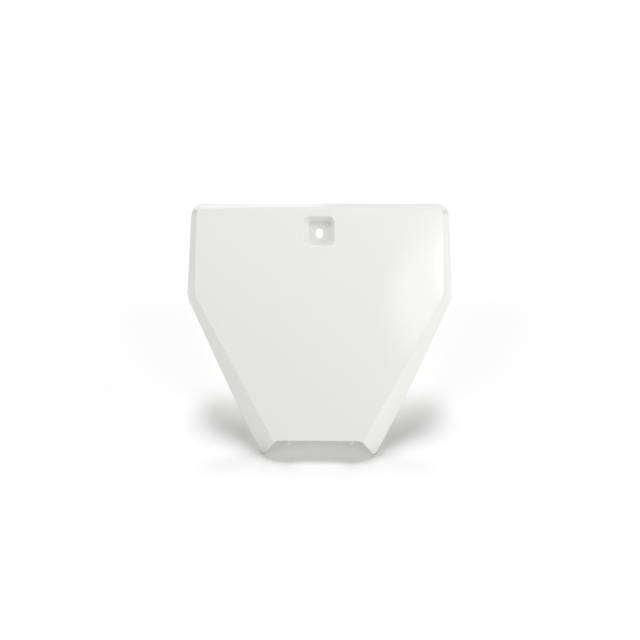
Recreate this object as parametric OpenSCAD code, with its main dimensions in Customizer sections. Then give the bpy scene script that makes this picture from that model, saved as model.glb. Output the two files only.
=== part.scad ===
// Front number board of a motocross motorcycle, moulded in one piece.
// A thin, slightly bowed face carries the number. A slanted flange runs round its
// top and sides, deepens down the lower sides and ends in two legs that reach
// below the face. One screw holds the board through the slot in the floor of the
// pocket, and two pegs behind the bottom edge stand in the mudguard.
// Millimetres, X to the right, Y to the back, Z up. The origin is the middle of
// the slot, on the front of the pocket's floor.

/* [Face] */
// Width between the creases at the top corners
top_w = 234; // [200:1:270]
// Width between the creases at the shoulders, the widest place
shoulder_w = 237; // [205:1:275]
// Width between the creases where they meet the bottom edge
bottom_w = 85; // [74:1:110]
// Height of the top crease above the slot, at the middle
top_above_slot = 23.7; // [21:0.1:32]
// Rise of the top crease from its corners to its middle
top_arch = 1.1; // [0.5:0.1:4]
// Drop from the slot to the shoulders
slot_to_shoulder = 59; // [45:1:75]
// Drop from the slot to the bottom edge
slot_to_bottom = 198; // [180:1:215]
// Radius of the crease at the top corners, seen from the front
corner_r = 6.5; // [4:0.5:12]
// Radius of the crease at the shoulders, seen from the front
shoulder_r = 20; // [8:1:30]
// Distance that the face curves back from its middle to the shoulders
bow_across = 3; // [0.5:0.1:6]
// Distance that the face curves back from its middle to its top and bottom edges
bow_down = 1.5; // [0.2:0.1:3]
// Radius that turns the bottom edge down into the legs
bottom_turn_r = 5.5; // [4:0.5:12]
// Angle that the bottom edge has turned through where it meets the crease
bottom_turn = 43; // [38:1:50]

/* [Flange] */
// Width of the flange seen from the front, at the middle of the top
flange_w_top = 5; // [3:0.1:8]
// Width of the flange seen from the front, at the top corners
flange_w_corner = 6.6; // [4:0.1:9]
// Width of the flange seen from the front, at the shoulders
flange_w_shoulder = 9.3; // [6:0.1:12]
// Width of the flange seen from the front, at the legs
flange_w_leg = 18; // [12:0.5:20]
// Depth of the flange behind the crease, at the middle of the top
flange_d_top = 10; // [7:0.5:14]
// Depth of the flange behind the crease, at the top corners
flange_d_corner = 11; // [8:0.5:15]
// Depth of the flange behind the crease, at the shoulders
flange_d_shoulder = 14; // [11:0.5:18]
// Depth of the flange behind the crease, at the legs
flange_d_leg = 24; // [18:0.5:30]
// How much faster than evenly the flange narrows as it passes the shoulders
shoulder_taper = 1.2; // [0.8:0.05:1.4]
// How much faster than evenly the flange narrows as it passes the top corners
corner_taper = 2.5; // [0.5:0.1:3]
// Radius of each leg's tip
tip_r = 3; // [2:0.1:4.5]

/* [Wall] */
// Thickness of the face and flange
wall = 2.2; // [1.6:0.1:3]
// Radius of the crease on the outside
crease_r = 1.5; // [0.8:0.1:3]
// Radius of the crease on the inside
inner_r = 0.6; // [0.3:0.1:1.5]
// Height of the rounding along the free edges
edge_round = 1; // [0.3:0.1:1]

/* [Screw pocket] */
// Width of the pocket at the face
pocket_w = 29; // [25:0.2:34]
// Height of the pocket at the face
pocket_h = 28.6; // [25:0.2:34]
// Width of the pocket's floor
floor_w = 20.8; // [18:0.2:24]
// Height of the pocket's floor
floor_h = 21.8; // [18:0.2:24]
// Depth of the floor below the face
pocket_depth = 10; // [7:0.5:14]
// Height of the rim's middle above the slot
rim_above_slot = 1.2; // [0:0.1:1.5]
// Corner radius of the rim
rim_corner_r = 6; // [4:0.5:8]
// Corner radius of the floor
floor_corner_r = 4; // [2.5:0.5:6]
// Rounding between the face and the pocket's walls
rim_round = 1; // [0.4:0.1:1.5]
// Rounding between the walls and the floor
floor_round = 1.5; // [0.6:0.1:2.5]
// Thickness of the pocket's walls
pocket_wall = 2.2; // [1.6:0.1:3]
// Thickness of the pocket's floor
floor_t = 2.6; // [2:0.1:4]

/* [Screw slot] */
// Width of the slot, for an M6 screw
slot_w = 6.5; // [5.5:0.1:8]
// Length of the slot from top to bottom
slot_len = 9.5; // [8.5:0.1:12]
// Bevel round the slot's front edge
slot_bevel = 0.5; // [0.2:0.1:0.8]

/* [Pegs] */
// Diameter of each peg
peg_d = 8.5; // [6:0.1:10]
// Distance between the two pegs
peg_gap = 61; // [50:1:66]
// Distance from the back of the face to the middle of a peg
peg_setback = 8.5; // [7:0.1:12]
// Length of each peg below its shelf
peg_len = 16; // [12:0.5:20]
// Reach of the pegs below the bottom edge
peg_reach = 3.8; // [3:0.1:7]
// Bevel round each peg's tip
peg_bevel = 1.2; // [0.4:0.1:2]
// Width of the shelf that carries a peg
shelf_w = 14; // [11:0.5:18]
// Height of the webs above the shelf
web_h = 20; // [12:1:30]

/* [Ribs] */
// Thickness of the ribs, webs and shelves
rib_t = 1.8; // [1.4:0.1:2.6]
// Distance between the two ribs that tie the pocket to the top flange
tie_gap = 16; // [10:0.5:20]

/* [Hidden] */

// Steps along each stretch of the outline, from the bottom edge to the middle of the top
low_n = 13;
shoulder_n = 5;
side_n = 4;
corner_n = 5;
arch_n = 9;
// Steps across the crease, the flange, the leg's rounded tip and the free edge
crease_n = 5;
flange_n = 3;
tip_n = 6;
edge_n = 6;
// Steps round a quarter of the pocket's corners
quarter_n = 6;
// Steps round a rounding of the pocket
round_n = 4;
cut = 1;

function unit(v) = v / norm(v);
function blend(a, b, k) = a + (b - a) * k;
// Radians of an angle
function rad(a) = a * PI / 180;
// Smooth curve through two values with their slopes
function smooth(t, t0, v0, m0, t1, v1, m1) =
    let (k = (t - t0) / (t1 - t0), h = t1 - t0)
    (2 * k ^ 3 - 3 * k ^ 2 + 1) * v0 + (k ^ 3 - 2 * k ^ 2 + k) * h * m0
    + (3 * k ^ 2 - 2 * k ^ 3) * v1 + (k ^ 3 - k ^ 2) * h * m1;

// Depth of the bowed face at a place seen from the front
mid_z = (top_above_slot - slot_to_bottom) / 2;
half_h = (top_above_slot + slot_to_bottom) / 2;
function bow(x, z) = bow_across * (2 * x / shoulder_w) ^ 2 + bow_down * ((z - mid_z) / half_h) ^ 2;
function face_y(x, z) = bow(x, z) - bow(0, 0) - pocket_depth;
// Slope of the face along a direction seen from the front
function face_slope(x, z, a) =
    8 * bow_across * x / shoulder_w ^ 2 * cos(a)
    + 2 * bow_down * (z - mid_z) / half_h ^ 2 * sin(a);

// The right half of the crease, seen from the front: three corners, two of them rounded
arch_slope = 4 * top_arch / top_w;
end_z = edge_round - slot_to_bottom - bottom_turn_r * (1 - cos(bottom_turn));
top_x = top_w / 2 - corner_r;
corner_z = top_above_slot - arch_slope * (top_w / 2 - top_x / 2);
bottom_p = [bottom_w / 2, end_z];
shoulder_p = [shoulder_w / 2, -slot_to_shoulder];
corner_p = [top_w / 2, corner_z];
low_dir = unit(shoulder_p - bottom_p);
side_dir = unit(corner_p - shoulder_p);
// Directions that the crease faces, as angles from the X axis
low_a = -acos(low_dir[1]);
side_a = acos(side_dir[1]);
arch_a = 90 - atan(arch_slope);
shoulder_cut = shoulder_r * tan((side_a - low_a) / 2);
corner_cut = corner_r * tan((arch_a - side_a) / 2);
function facing(a) = [cos(a), sin(a)];
shoulder_c = shoulder_p - low_dir * shoulder_cut - facing(low_a) * shoulder_r;
corner_c = corner_p - side_dir * corner_cut - facing(side_a) * corner_r;
arch_p = corner_c + facing(arch_a) * corner_r;

// Lengths along the crease from the bottom edge
low_len = norm(shoulder_p - bottom_p) - shoulder_cut;
turn_len = shoulder_r * rad(side_a - low_a);
side_len = norm(corner_p - shoulder_p) - shoulder_cut - corner_cut;
corner_len = corner_r * rad(arch_a - side_a);
shoulder_t = low_len + turn_len / 2;
corner_t = low_len + turn_len + side_len + corner_len / 2;
top_t = low_len + turn_len + side_len + corner_len + arch_p[0];

// Width and depth of the flange along the crease, as one smooth curve each
function flange_size(t, leg, shoulder, corner, top) =
    let (m_shoulder = (corner - leg) / corner_t * shoulder_taper,
         m_corner = (top - shoulder) / (top_t - shoulder_t) * corner_taper)
    t < 0 ? leg
    : t < shoulder_t ? smooth(t, 0, leg, 0, shoulder_t, shoulder, m_shoulder)
    : t < corner_t ? smooth(t, shoulder_t, shoulder, m_shoulder, corner_t, corner, m_corner)
    : smooth(t, corner_t, corner, m_corner, top_t, top, 0);
function flange_w(t) =
    flange_size(t, flange_w_leg, flange_w_shoulder, flange_w_corner, flange_w_top);
function flange_d(t) =
    flange_size(t, flange_d_leg, flange_d_shoulder, flange_d_corner, flange_d_top);

// Stations along the right half: place seen from the front, facing angle, length so far
low_s = [for (i = [0 : low_n]) low_len * (i / low_n) ^ 1.5];
side_stations = [
    for (s = low_s) [each bottom_p + low_dir * s, low_a, s],
    for (i = [1 : shoulder_n])
        let (a = blend(low_a, side_a, i / shoulder_n))
        [each shoulder_c + facing(a) * shoulder_r, a, low_len + shoulder_r * rad(a - low_a)],
    for (i = [1 : side_n])
        let (s = side_len * i / side_n)
        [each shoulder_p + side_dir * (shoulder_cut + s), side_a, low_len + turn_len + s],
    for (i = [1 : corner_n])
        let (a = blend(side_a, arch_a, i / corner_n / 2))
        [each corner_c + facing(a) * corner_r, a,
         low_len + turn_len + side_len + corner_r * rad(a - side_a)]
];
top_stations = [
    for (i = [1 : corner_n])
        let (a = blend(side_a, arch_a, 0.5 + i / corner_n / 2))
        [each corner_c + facing(a) * corner_r, a,
         low_len + turn_len + side_len + corner_r * rad(a - side_a)],
    for (i = [1 : arch_n])
        let (x = arch_p[0] * sin(90 * (1 - i / arch_n)), d = arch_p[0] - x)
        [x, arch_p[1] + arch_slope * d * (1 - d / arch_p[0] / 2),
         90 - atan(arch_slope * x / arch_p[0]), top_t - x]
];
right_stations = concat(side_stations, top_stations);
row_n = len(side_stations) - 1;
col_n = len(top_stations);
half_n = row_n + col_n;
// A station of the left half mirrors one of the right half
function station(k) = k <= half_n ? right_stations[k]
    : let (s = right_stations[2 * half_n - k]) [-s[0], s[1], 180 - s[2], s[3]];

// Cross-section of crease and flange, seen along the crease from its corner point:
// distance outwards from the crease and distance back
function lean(st) = atan(face_slope(st[0], st[1], st[2]));
function flange_a(st) = atan2(flange_d(st[3]), flange_w(st[3]));
function flange_len(st) = norm([flange_w(st[3]), flange_d(st[3])]) - edge_round;
// A point on the rounded crease, for the skin at depth deep under the outer one
function crease_pt(st, deep, r, k) =
    let (g = lean(st), f = flange_a(st), h = tan((f - g) / 2), b = blend(g, f, k))
    [cos(g), sin(g)] * -(deep + r) * h + [-sin(g), cos(g)] * (deep + r)
    + [sin(b), -cos(b)] * r;
function flange_pt(st, deep, w) =
    let (f = flange_a(st)) [cos(f), sin(f)] * w + [-sin(f), cos(f)] * deep;

// Leg end: how far it reaches along the crease past the face's corner, by the
// distance across the flange. It slants down and rounds into the free edge.
slant = bottom_turn + low_a;
leg_len = flange_len(right_stations[0]);
tip_w = leg_len - tip_r;
tip_u = tan(slant) * tip_w - tip_r / cos(slant);
tip_start = tip_w - tip_r * sin(slant);
function leg_reach(w) =
    w <= 0 ? 0
    : w <= tip_start ? tan(slant) * w
    : tip_u + sqrt(max(0, tip_r ^ 2 - (w - tip_w) ^ 2));
// The flange's lines across, as distances from its free edge on the rounded tip
tip_lines = [for (i = [1 : tip_n])
    tip_r - tip_r * sin(blend(-slant, 90, i / tip_n))];
tip_back = tip_r + tip_r * sin(slant);
reach_len = 36;

strip_n = crease_n + flange_n + tip_n;
// Distance across the flange of line j, from w0 beside the crease to w1 at the edge
function across(j, w0, w1) =
    j <= crease_n + flange_n
    ? blend(w0, w1 - tip_back, (j - crease_n) / flange_n)
    : w1 - tip_lines[j - crease_n - flange_n - 1];
// A station moved along the lower crease by u
function moved(st, u) = u == 0 ? st
    : let (side = st[0] < 0 ? -1 : 1)
    [st[0] - side * low_dir[0] * u, st[1] - low_dir[1] * u, st[2], st[3] - u];
function section_pt(st, deep, r, j) =
    let (h = tan((flange_a(st) - lean(st)) / 2))
    j <= crease_n ? crease_pt(st, deep, r, j / crease_n)
    : flange_pt(st, deep, across(j, (deep + r) * h, flange_len(st)));
// Point j of the strip at station k, on the skin at depth deep
function strip_pt(k, deep, r, j) =
    let (st0 = station(k),
         w = j < crease_n ? 0 : across(j, 0, leg_len),
         near = max(0, 1 - st0[3] / reach_len),
         st = moved(st0, leg_reach(w) * near ^ 2),
         p = section_pt(st, deep, r, j),
         y0 = face_y(st[0], st[1]))
    [st[0] + p[0] * cos(st[2]), y0 + p[1], st[1] + p[0] * sin(st[2])];

// The face is a grid between the two creases: rows from the bottom edge to the top
// corners, columns from the left to the right
function skin_r(deep) = deep == 0 ? crease_r : inner_r;
function crease_line(deep) = [for (k = [0 : half_n]) strip_pt(k, deep, skin_r(deep), 0)];
// Height of the bottom edge above its ends, by the distance from them
function bottom_rise(from_end) =
    let (d = max(0, bottom_turn_r * sin(bottom_turn) - from_end))
    sqrt(bottom_turn_r ^ 2 - d ^ 2) - bottom_turn_r * cos(bottom_turn);
function face_pts(deep) =
    let (line = crease_line(deep), z0 = line[0][2], z1 = line[row_n][2], x1 = line[row_n][0])
    [for (r = [0 : row_n], c = [-col_n : col_n])
        let (k = row_n + col_n - abs(c),
             up = (line[r][2] - z0) / (z1 - z0),
             part = line[k][0] / x1,
             x = sign(c) * line[r][0] * part,
             z = line[r][2] + up * (line[k][2] - z1)
                 + (1 - up) ^ 12 * bottom_rise(line[0][0] * (1 - part)))
        abs(c) == col_n ? [sign(c) * line[r][0], line[r][1], line[r][2]]
        : r == row_n ? [sign(c) * line[k][0], line[k][1], line[k][2]]
        : [x, face_y(x, z) + deep, z]];
function strip_pts(deep) =
    [for (k = [0 : 2 * half_n], j = [1 : strip_n]) strip_pt(k, deep, skin_r(deep), j)];

// Numbering of one skin's points
row_pts = 2 * col_n + 1;
face_count = (row_n + 1) * row_pts;
skin_count = face_count + (2 * half_n + 1) * strip_n;
function grid_i(r, c) = r * row_pts + c + col_n;
function rim_i(k) =
    k <= row_n ? grid_i(k, col_n)
    : k <= row_n + 2 * col_n ? grid_i(row_n, col_n - (k - row_n))
    : grid_i(2 * half_n - k, -col_n);
function strip_i(k, j) = j == 0 ? rim_i(k) : face_count + k * strip_n + j - 1;
function quad(a, b, c, d) = [[a, b, c], [a, c, d]];
skin_faces = [
    for (r = [0 : row_n - 1], c = [-col_n : col_n - 1])
        each quad(grid_i(r, c), grid_i(r + 1, c), grid_i(r + 1, c + 1), grid_i(r, c + 1)),
    for (k = [0 : 2 * half_n - 1], j = [0 : strip_n - 1])
        each quad(strip_i(k, j), strip_i(k + 1, j), strip_i(k + 1, j + 1), strip_i(k, j + 1))
];
// The closed free edge: up the right flange, over the top, down the left flange,
// round the left leg, along the bottom edge and round the right leg
loop = [
    for (k = [0 : 2 * half_n]) strip_i(k, strip_n),
    for (j = [strip_n - 1 : -1 : 0]) strip_i(2 * half_n, j),
    for (c = [-col_n + 1 : col_n]) grid_i(0, c),
    for (j = [1 : strip_n - 1]) strip_i(0, j)
];
loop_n = len(loop);

module shell() {
    outer = concat(face_pts(0), strip_pts(0));
    inner = concat(face_pts(wall), strip_pts(wall));
    // Rounded edge from the outer skin to the inner one
    edge = [for (b = [0 : loop_n - 1], m = [1 : edge_n - 1])
        let (o = outer[loop[b]], i = inner[loop[b]],
             along = outer[loop[(b + 1) % loop_n]] - outer[loop[(b + loop_n - 1) % loop_n]],
             out = unit(cross(i - o, along)),
             a = 180 * m / edge_n)
        (o + i) / 2 + (o - i) / 2 * cos(a) + out * edge_round * sin(a)];
    function edge_i(b, m) =
        m == 0 ? loop[b % loop_n]
        : m == edge_n ? skin_count + loop[b % loop_n]
        : 2 * skin_count + (b % loop_n) * (edge_n - 1) + m - 1;
    polyhedron(
        points = concat(outer, inner, edge),
        faces = concat(
            skin_faces,
            [for (f = skin_faces) [for (i = [2 : -1 : 0]) f[i] + skin_count]],
            [for (b = [0 : loop_n - 1], m = [0 : edge_n - 1])
                each quad(edge_i(b, m), edge_i(b + 1, m), edge_i(b + 1, m + 1), edge_i(b, m + 1))]
        ));
}

// Rounded rectangle seen from the front, at depth y
function rounded_ring(w, h, r, y, z) =
    [for (q = [0 : 3], i = [0 : quarter_n])
        let (a = 90 * q + 90 * i / quarter_n,
             sx = q == 0 || q == 3 ? 1 : -1, sz = q < 2 ? 1 : -1)
        [sx * (w / 2 - r) + r * cos(a), y, z + sz * (h / 2 - r) + r * sin(a)]];
// The same ring bent to lie along the bowed face
function bowed(ring) = [for (p = ring) p + [0, face_y(p[0], p[2]) - rim_y, 0]];
// Solid through a row of rings with the same number of points
module loft(rings) {
    n = len(rings[0]);
    polyhedron(
        points = [for (ring = rings) each ring],
        faces = concat(
            [[for (i = [n - 1 : -1 : 0]) i]],
            [for (k = [0 : len(rings) - 2], i = [0 : n - 1])
                let (a = k * n + i, b = k * n + (i + 1) % n)
                each quad(a, b, b + n, a + n)],
            [[for (i = [0 : n - 1]) (len(rings) - 1) * n + i]]
        ));
}

// The pocket narrows towards its floor by this much on each side
narrow_w = (pocket_w - floor_w) / 2;
narrow_h = (pocket_h - floor_h) / 2;
rim_y = face_y(0, rim_above_slot);
draft = atan((narrow_w + narrow_h) / 2 / pocket_depth);
// A ring of the pocket at depth y, set in from the rim by part k of the narrowing
function pocket_ring(y, k, grow) =
    rounded_ring(
        pocket_w - 2 * narrow_w * k + 2 * grow, pocket_h - 2 * narrow_h * k + 2 * grow,
        blend(rim_corner_r, floor_corner_r, min(1, max(0, k))) + grow,
        y, rim_above_slot * (1 - min(1, max(0, k))));
mean_narrow = (narrow_w + narrow_h) / 2;
half_turn = tan((90 - draft) / 2);

// The hollow of the pocket, with its rim and floor rounded
module pocket_hollow() {
    rim = [for (i = [0 : round_n])
        let (a = (90 - draft) * i / round_n)
        [-rim_round * half_turn + rim_round * sin(a), rim_y + rim_round * (1 - cos(a))]];
    root = [for (i = [0 : round_n])
        let (a = blend(draft, 90, i / round_n))
        [mean_narrow + floor_round * half_turn - floor_round * cos(a),
         -floor_round * (1 - sin(a))]];
    loft([
        pocket_ring(rim_y - cut, rim[0][0] / mean_narrow, 0),
        for (p = rim) bowed(pocket_ring(p[1], p[0] / mean_narrow, 0)),
        for (p = root) pocket_ring(p[1], p[0] / mean_narrow, 0)
    ]);
}

// The walls and floor round that hollow, from inside the face's wall to the back
module pocket_walls() {
    grow = pocket_wall / cos(draft);
    back_k = (pocket_depth + floor_t) / pocket_depth;
    loft([
        pocket_ring(rim_y + wall / 2, wall / 2 / pocket_depth, grow),
        pocket_ring(floor_t - edge_round, back_k - edge_round / pocket_depth, grow),
        pocket_ring(floor_t, back_k, grow - edge_round)
    ]);
}

// A straight slot along Z, cut towards the back from the origin
module slot_hollow() {
    run = (slot_len - slot_w) / 2;
    for (s = [-1, 1])
        translate([0, 0, s * run])
            rotate([-90, 0, 0]) {
                translate([0, 0, -cut])
                    cylinder(d = slot_w, h = floor_t + 2 * cut, $fn = 48);
                translate([0, 0, -slot_bevel])
                    cylinder(r1 = slot_w / 2 + 2 * slot_bevel, r2 = slot_w / 2,
                             h = 2 * slot_bevel, $fn = 48);
            }
    translate([-slot_w / 2, -cut, -run])
        cube([slot_w, floor_t + 2 * cut, 2 * run]);
    translate([0, 0, -run])
        linear_extrude(height = 2 * run)
            polygon([[-slot_w / 2 - 2 * slot_bevel, -slot_bevel],
                     [slot_w / 2 + 2 * slot_bevel, -slot_bevel],
                     [slot_w / 2, slot_bevel], [-slot_w / 2, slot_bevel]]);
}

// Two short ribs from the pocket up to the top flange
module tie_ribs() {
    z0 = pocket_h / 2 + rim_above_slot;
    y0 = face_y(tie_gap / 2, top_above_slot) + wall / 2;
    lean_top = flange_w_top / flange_d_top;
    z1 = top_above_slot - wall * 0.6;
    for (s = [-1, 1])
        translate([s * tie_gap / 2 - rib_t / 2, 0, 0])
            rotate([90, 0, 90])
                linear_extrude(height = rib_t)
                    polygon([[y0, z0 - narrow_h], [floor_t - edge_round, z0 - narrow_h],
                             [y0 + flange_d_top - 3 * wall, z1 + (flange_d_top - 3 * wall) * lean_top],
                             [y0, z1]]);
}

// Peg, with the shelf and webs that carry it behind the face
peg_z = peg_len - slot_to_bottom - peg_reach;
module peg() {
    x = peg_gap / 2;
    back = face_y(x, -slot_to_bottom) + wall;
    front = back - wall / 2;
    deep = back + peg_setback + peg_d / 2 + 1;
    translate([x, back + peg_setback, peg_z - peg_len])
        rotate_extrude($fn = 64)
            polygon([[0, 0], [peg_d / 2 - peg_bevel, 0], [peg_d / 2, peg_bevel],
                     [peg_d / 2, peg_len + rib_t / 2], [0, peg_len + rib_t / 2]]);
    translate([x - shelf_w / 2, front, peg_z])
        cube([shelf_w, deep - front, rib_t]);
    for (s = [-1, 1])
        translate([x + s * (shelf_w - rib_t) / 2 - rib_t / 2, 0, 0])
            rotate([90, 0, 90])
                linear_extrude(height = rib_t)
                    polygon([[front, peg_z], [deep, peg_z], [deep, peg_z + 2 * rib_t],
                             [front, peg_z + web_h]]);
}

module number_board()
    color("white")
        difference() {
            union() {
                shell();
                pocket_walls();
                tie_ribs();
                peg();
                mirror([1, 0, 0]) peg();
            }
            pocket_hollow();
            slot_hollow();
        }

number_board();
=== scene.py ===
import math

import bpy
from mathutils import Matrix, Vector


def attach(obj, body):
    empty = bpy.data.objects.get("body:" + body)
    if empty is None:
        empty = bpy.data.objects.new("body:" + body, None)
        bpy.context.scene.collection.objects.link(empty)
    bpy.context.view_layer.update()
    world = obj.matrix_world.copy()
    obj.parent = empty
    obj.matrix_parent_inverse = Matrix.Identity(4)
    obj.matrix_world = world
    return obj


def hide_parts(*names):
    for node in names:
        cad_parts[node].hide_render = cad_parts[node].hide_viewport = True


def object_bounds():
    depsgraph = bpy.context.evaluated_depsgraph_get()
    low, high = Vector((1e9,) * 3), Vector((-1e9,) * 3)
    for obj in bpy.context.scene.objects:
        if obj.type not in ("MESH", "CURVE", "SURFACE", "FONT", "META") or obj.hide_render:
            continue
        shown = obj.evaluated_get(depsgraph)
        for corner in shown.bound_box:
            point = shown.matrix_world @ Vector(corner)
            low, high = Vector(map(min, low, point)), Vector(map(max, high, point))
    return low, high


# Front number board of a motocross motorcycle, on a white floor in a soft light tent.
# Metres. X to the right, Y to the back, Z up, and the middle of the screw slot at the origin.
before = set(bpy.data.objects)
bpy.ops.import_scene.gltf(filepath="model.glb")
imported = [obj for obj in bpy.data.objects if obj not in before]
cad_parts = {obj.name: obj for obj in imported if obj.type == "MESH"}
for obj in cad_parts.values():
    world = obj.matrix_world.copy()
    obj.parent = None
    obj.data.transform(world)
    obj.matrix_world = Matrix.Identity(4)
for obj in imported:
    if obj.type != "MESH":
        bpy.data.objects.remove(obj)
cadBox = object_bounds()
scene = bpy.context.scene
scene.view_settings.view_transform = "Standard"
print("frame loaded")


def linearColour(hexValue):
    parts = [int(hexValue[i:i + 2], 16) / 255 for i in (1, 3, 5)]
    return [c / 12.92 if c <= 0.04045 else ((c + 0.055) / 1.055) ** 2.4 for c in parts] + [1.0]


# adds a node, then links or fills its inputs, each given by its name or its number
def addNode(tree, kind, inputs=None):
    node = tree.nodes.new(kind)
    for key, value in (inputs or {}).items():
        if isinstance(value, bpy.types.NodeSocket):
            tree.links.new(value, node.inputs[key])
        else:
            node.inputs[key].default_value = value
    return node


def selectOnly(piece):
    bpy.ops.object.select_all(action="DESELECT")
    piece.select_set(True)
    bpy.context.view_layer.objects.active = piece


boardFinish = {
    "colour": "#ECEDE5",         # natural white with a faint warm cast
    "ior": 1.49,
    "roughness": 0.08,
    "roughnessSpread": 0.015,    # how far the waves take the roughness up and down
    "orangePeelMm": 6.0,         # width of the slow waves a big thin moulding shows in a reflection
    "orangePeelStrength": 0.02,
    "orangePeelHeight": 0.001,
    "grainMm": 0.5,              # fine grain of the polished tool
    "grainStrength": 0.02,
    "grainHeight": 0.0001,
}


# Polypropylene, injection moulded in a polished tool: dense white, an even gloss that
# turns wavy over the thin wall, and no visible grain from arm's length
def mouldedPolypropylene(finish):
    material = bpy.data.materials.new("glossMouldedPolypropylene")
    material.use_nodes = True
    tree = material.node_tree
    tree.nodes.clear()
    place = addNode(tree, "ShaderNodeTexCoord").outputs["Object"]
    # a noise's cell is about two waves wide
    waves = addNode(tree, "ShaderNodeTexNoise", {
        "Vector": place,
        "Scale": 1000 / (2 * finish["orangePeelMm"]),
        "Detail": 1.0,
    })
    grain = addNode(tree, "ShaderNodeTexNoise", {
        "Vector": place,
        "Scale": 1000 / (2 * finish["grainMm"]),
        "Detail": 2.0,
    })
    rough = addNode(tree, "ShaderNodeMapRange", {
        "Value": waves.outputs["Fac"],
        "To Min": finish["roughness"] - finish["roughnessSpread"],
        "To Max": finish["roughness"] + finish["roughnessSpread"],
    })
    wavy = addNode(tree, "ShaderNodeBump", {
        "Height": waves.outputs["Fac"],
        "Strength": finish["orangePeelStrength"],
        "Distance": finish["orangePeelHeight"],
    })
    fine = addNode(tree, "ShaderNodeBump", {
        "Height": grain.outputs["Fac"],
        "Strength": finish["grainStrength"],
        "Distance": finish["grainHeight"],
        "Normal": wavy.outputs["Normal"],
    })
    shader = addNode(tree, "ShaderNodeBsdfPrincipled", {
        "Base Color": linearColour(finish["colour"]),
        "IOR": finish["ior"],
        "Roughness": rough.outputs["Result"],
        "Normal": fine.outputs["Normal"],
    })
    addNode(tree, "ShaderNodeOutputMaterial", {"Surface": shader.outputs["BSDF"]})
    return material


boardShape = {
    "mergeMm": 0.02,
    "sharpAngle": 35,      # degrees
}

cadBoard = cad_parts["number_board"]
board = bpy.data.objects.new("mouldedBoard", cadBoard.data.copy())
scene.collection.objects.link(board)
selectOnly(board)
bpy.ops.object.mode_set(mode="EDIT")
bpy.ops.mesh.select_all(action="SELECT")
bpy.ops.mesh.remove_doubles(threshold=boardShape["mergeMm"] / 1000)
bpy.ops.object.mode_set(mode="OBJECT")
bpy.ops.object.shade_smooth_by_angle(angle=math.radians(boardShape["sharpAngle"]))
normals = board.modifiers.new("evenShading", "WEIGHTED_NORMAL")
normals.keep_sharp = True
bpy.ops.object.modifier_apply(modifier="evenShading")
board.data.materials.clear()
board.data.materials.append(mouldedPolypropylene(boardFinish))
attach(board, "root")
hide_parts("number_board")
print("board", len(board.data.polygons), "faces")


# The board leans back a little, so in its own frame the floor rises behind it.
floorSheet = {
    "colour": "#F4F4F4",
    "radius": 0.9,
    "corners": 96,
    "lean": 28,            # degrees
    "tipBand": 0.004,      # height of the stretch of the leg tips that can touch it
}


# Matt white paper: an even white without shine, which keeps soft shadows soft. It is one-sided,
# so views from behind and below see the board through it.
def matWhitePaper(sheet):
    material = bpy.data.materials.new("matWhitePaper")
    material.use_nodes = True
    tree = material.node_tree
    tree.nodes.clear()
    under = addNode(tree, "ShaderNodeNewGeometry").outputs["Backfacing"]
    white = addNode(tree, "ShaderNodeBsdfDiffuse", {"Color": linearColour(sheet["colour"])})
    clear = addNode(tree, "ShaderNodeBsdfTransparent")
    oneSided = addNode(tree, "ShaderNodeMixShader", {
        0: under,
        1: white.outputs["BSDF"],
        2: clear.outputs["BSDF"],
    })
    addNode(tree, "ShaderNodeOutputMaterial", {"Surface": oneSided.outputs["Shader"]})
    return material


lean = math.radians(floorSheet["lean"])
tips = [v.co for v in board.data.vertices if v.co.z < cadBox[0][2] + floorSheet["tipBand"]]
# the point that is lowest over the leaning sheet rests on it
touch = min(tips, key=lambda p: p.z * math.cos(lean) - p.y * math.sin(lean))
bpy.ops.object.select_all(action="DESELECT")
bpy.ops.mesh.primitive_circle_add(
    vertices=floorSheet["corners"], radius=floorSheet["radius"], fill_type="NGON",
    location=(0, touch.y, touch.z), rotation=(lean, 0, 0))
floor = bpy.context.active_object
floor.name = "paleFloor"
bpy.ops.object.transform_apply(location=True, rotation=True, scale=True)
floor.data.materials.append(matWhitePaper(floorSheet))
print("floor")


# Only the camera sees the tent's white. The lamps below light the board and the floor.
tentSet = {"backdrop": 1.02}

world = bpy.data.worlds.new("lightTent")
scene.world = world
world.use_nodes = True
tree = world.node_tree
tree.nodes.clear()
seen = addNode(tree, "ShaderNodeLightPath").outputs["Is Camera Ray"]
white = addNode(tree, "ShaderNodeBackground", {"Color": (1, 1, 1, 1), "Strength": tentSet["backdrop"]})
backdrop = addNode(tree, "ShaderNodeMixShader", {0: seen, 2: white.outputs["Background"]})
addNode(tree, "ShaderNodeOutputWorld", {"Surface": backdrop.outputs["Shader"]})

floorGroup = bpy.data.collections.new("floorGroup")
floorGroup.objects.link(floor)
boardGroup = bpy.data.collections.new("boardGroup")
boardGroup.objects.link(board)

# Soft suns for the floor: a row from overhead to the back, and a pair each in front and at the
# sides. Tilt is in degrees from the floor's upright toward the back, side toward the right,
# width is the sun's own, and share is what it adds to the floor's white.
floorSuns = {
    "overhead": {"tilt": 0, "side": 0, "width": 12, "share": 0.24},
    "behind": {"tilt": 10, "side": 0, "width": 16, "share": 0.262},
    "farBehind": {"tilt": 30, "side": 0, "width": 18, "share": 0.21},
    "frontLeft": {"tilt": -50, "side": -30, "width": 24, "share": 0.086},
    "frontRight": {"tilt": -50, "side": 30, "width": 24, "share": 0.086},
    "sideLeft": {"tilt": -20, "side": -50, "width": 24, "share": 0.07},
    "sideRight": {"tilt": -20, "side": 50, "width": 24, "share": 0.07},
}

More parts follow.
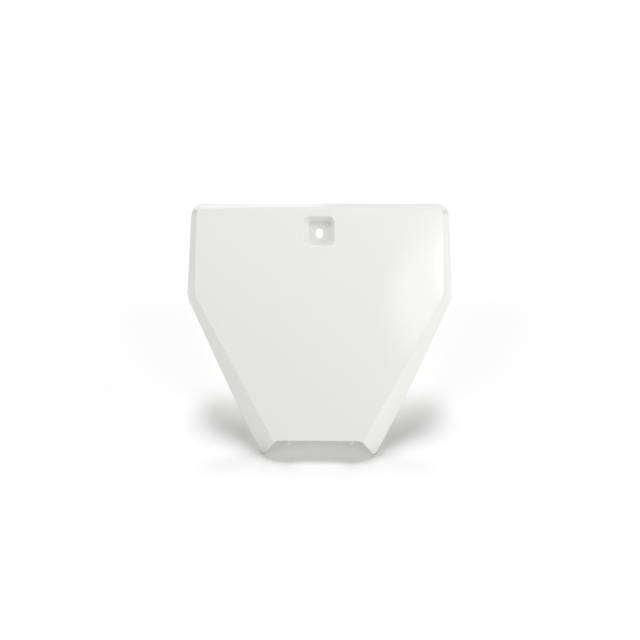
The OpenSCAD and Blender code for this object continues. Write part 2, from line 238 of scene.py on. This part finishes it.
floorWhite = linearColour(floorSheet["colour"])[0]
for name, sun in floorSuns.items():
    tilt, side = math.radians(sun["tilt"]), math.radians(sun["side"])
    slope = lean - tilt
    facing = math.cos(tilt) * math.cos(side)    # 1 where the sun stands over the floor's upright
    light = bpy.data.lights.new(name, "SUN")
    light.angle = math.radians(sun["width"])
    light.energy = math.pi * sun["share"] / (floorWhite * facing)
    up = Vector((math.sin(side), -math.sin(slope) * math.cos(side), math.cos(slope) * math.cos(side)))
    lamp = bpy.data.objects.new(name, light)
    lamp.rotation_euler = up.to_track_quat("Z", "Y").to_euler()
    scene.collection.objects.link(lamp)
    lamp.light_linking.receiver_collection = floorGroup
print("light", len(floorSuns), "suns")

# Soft boxes for the board. The round ones make its highlight, the back ones show in the flange,
# and the washes light it without showing in the gloss. Fill is the share of a box's rectangle
# that its shape takes up.
boxKinds = {
    "round": {"shape": "ELLIPSE", "fill": math.pi / 4, "mirrored": True},
    "back": {"shape": "RECTANGLE", "fill": 1, "mirrored": True},
    "wash": {"shape": "RECTANGLE", "fill": 1, "mirrored": False},
}
boardMiddle = (0, 0, -0.08)
# A box faces the board's middle or its own aim. Radiance is what its face shows, and 1 is white.
softBoxes = {
    "roundRight": {"kind": "round", "at": (0.6, -2.0, 0.05), "size": (0.62, 0.62), "radiance": 1.3},
    "roundLowRight": {"kind": "round", "at": (0.5, -2.0, -0.05), "size": (0.5, 0.5), "radiance": 1.0},
    "roundTopRight": {"kind": "round", "at": (0.72, -2.0, 0.15), "size": (0.45, 0.45), "radiance": 4.2},
    "rightBack": {"kind": "back", "at": (1.48, 0.6, -0.08), "size": (1.0, 1.0), "radiance": 1.1},
    "leftBack": {"kind": "back", "at": (-1.48, 0.6, -0.08), "size": (1.0, 1.0), "radiance": 0.78},
    "topLeftBack": {"kind": "back", "at": (-0.614, 0.7, 1.1), "size": (1.2, 1.0), "radiance": 1.33,
                    "aim": (-0.614, 0, 0)},
    "topRightBack": {"kind": "back", "at": (0.586, 0.7, 1.1), "size": (1.2, 1.0), "radiance": 0.66,
                     "aim": (0.586, 0, 0)},
    "frontTop": {"kind": "wash", "at": (0, -1.29, 0.86), "size": (1.0, 1.0), "radiance": 2.75},
    "above": {"kind": "wash", "at": (0, -0.28, 1.5), "size": (1.0, 1.0), "radiance": 0.86},
    "topLeft": {"kind": "wash", "at": (-0.98, -0.8, 0.9), "size": (1.0, 1.0), "radiance": 2.8},
    "right": {"kind": "wash", "at": (1.39, -0.8, -0.08), "size": (1.0, 1.0), "radiance": 2.25},
    "lowLeft": {"kind": "wash", "at": (-0.98, -0.8, -1.06), "size": (1.0, 1.0), "radiance": 3.3},
    "lowRight": {"kind": "wash", "at": (0.98, -0.8, -1.06), "size": (1.0, 1.0), "radiance": 1.77},
    "nearTopRight": {"kind": "wash", "at": (0.56, -0.42, 0.39), "size": (0.5, 0.5), "radiance": 2.0},
}

coolWhite = linearColour("#F8F7FE")     # a little blue, against the warm plastic
for name, box in softBoxes.items():
    kind = boxKinds[box["kind"]]
    light = bpy.data.lights.new(name, "AREA")
    light.shape = kind["shape"]
    light.size, light.size_y = box["size"]
    area = light.size * light.size_y * kind["fill"]
    light.color = coolWhite[:3]
    light.energy = box["radiance"] * math.pi * area / coolWhite[1]
    lamp = bpy.data.objects.new(name, light)
    lamp.location = box["at"]
    toward = Vector(box.get("aim", boardMiddle)) - Vector(box["at"])
    lamp.rotation_euler = toward.to_track_quat("-Z", "Y").to_euler()
    scene.collection.objects.link(lamp)
    lamp.light_linking.receiver_collection = boardGroup
    lamp.visible_glossy = kind["mirrored"]
print("light", len(softBoxes), "boxes")


cameraSet = {
    "aim": (0.00109, -0.0105, -0.0829),
    "away": 0.95,
    "yaw": 1.3,            # degrees
    "roll": 0.19,          # degrees
    "lens": 56.55,         # millimetres
    "sensor": 36,
}

cameraData = bpy.data.cameras.new("frontCamera")
cameraData.lens = cameraSet["lens"]
cameraData.sensor_width = cameraSet["sensor"]
camera = bpy.data.objects.new("frontCamera", cameraData)
level = Matrix.Rotation(math.radians(90), 3, "X")     # looks straight to the back
yaw = Matrix.Rotation(math.radians(cameraSet["yaw"]), 3, "Z")
roll = Matrix.Rotation(math.radians(cameraSet["roll"]), 3, "Z")
turn = yaw @ level @ roll
camera.location = Vector(cameraSet["aim"]) + turn.col[2] * cameraSet["away"]
camera.rotation_euler = turn.to_euler()
scene.collection.objects.link(camera)
scene.camera = camera
print("camera")
